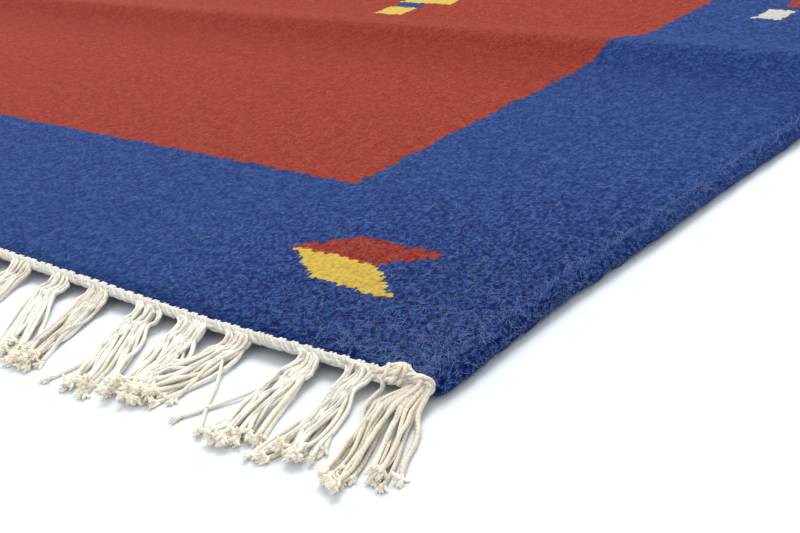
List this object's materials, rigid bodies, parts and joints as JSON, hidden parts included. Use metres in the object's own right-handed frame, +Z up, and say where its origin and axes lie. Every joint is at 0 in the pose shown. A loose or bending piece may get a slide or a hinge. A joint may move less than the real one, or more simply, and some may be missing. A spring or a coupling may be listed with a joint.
{
  "type": "kilim rug",
  "caption": "Small flat-woven wool kilim lying on the floor, with rolled selvedges, one soft fold ridge across it and a knotted cotton fringe at each end.",
  "frame": {"origin": "on the floor, under the middle of the rug's box", "axes": "+Y along the rug (the warp), towards the end farther from the ridge; +X across it (the weft); +Z up"},
  "size_m": [0.6242, 0.9538, 0.009],
  "materials": {
    "wool_weave": "matt, slightly hairy wool: royal blue border round a brick red field, with small yellow, red, white and blue woven figures",
    "cotton_warp": "undyed cream cotton yarn, plied and matt"
  },
  "bodies": {
    "root": {"kilim_cloth": "wool_weave", "fringe_front": "cotton_warp", "fringe_back": "cotton_warp"}
  },
  "joints": []
}
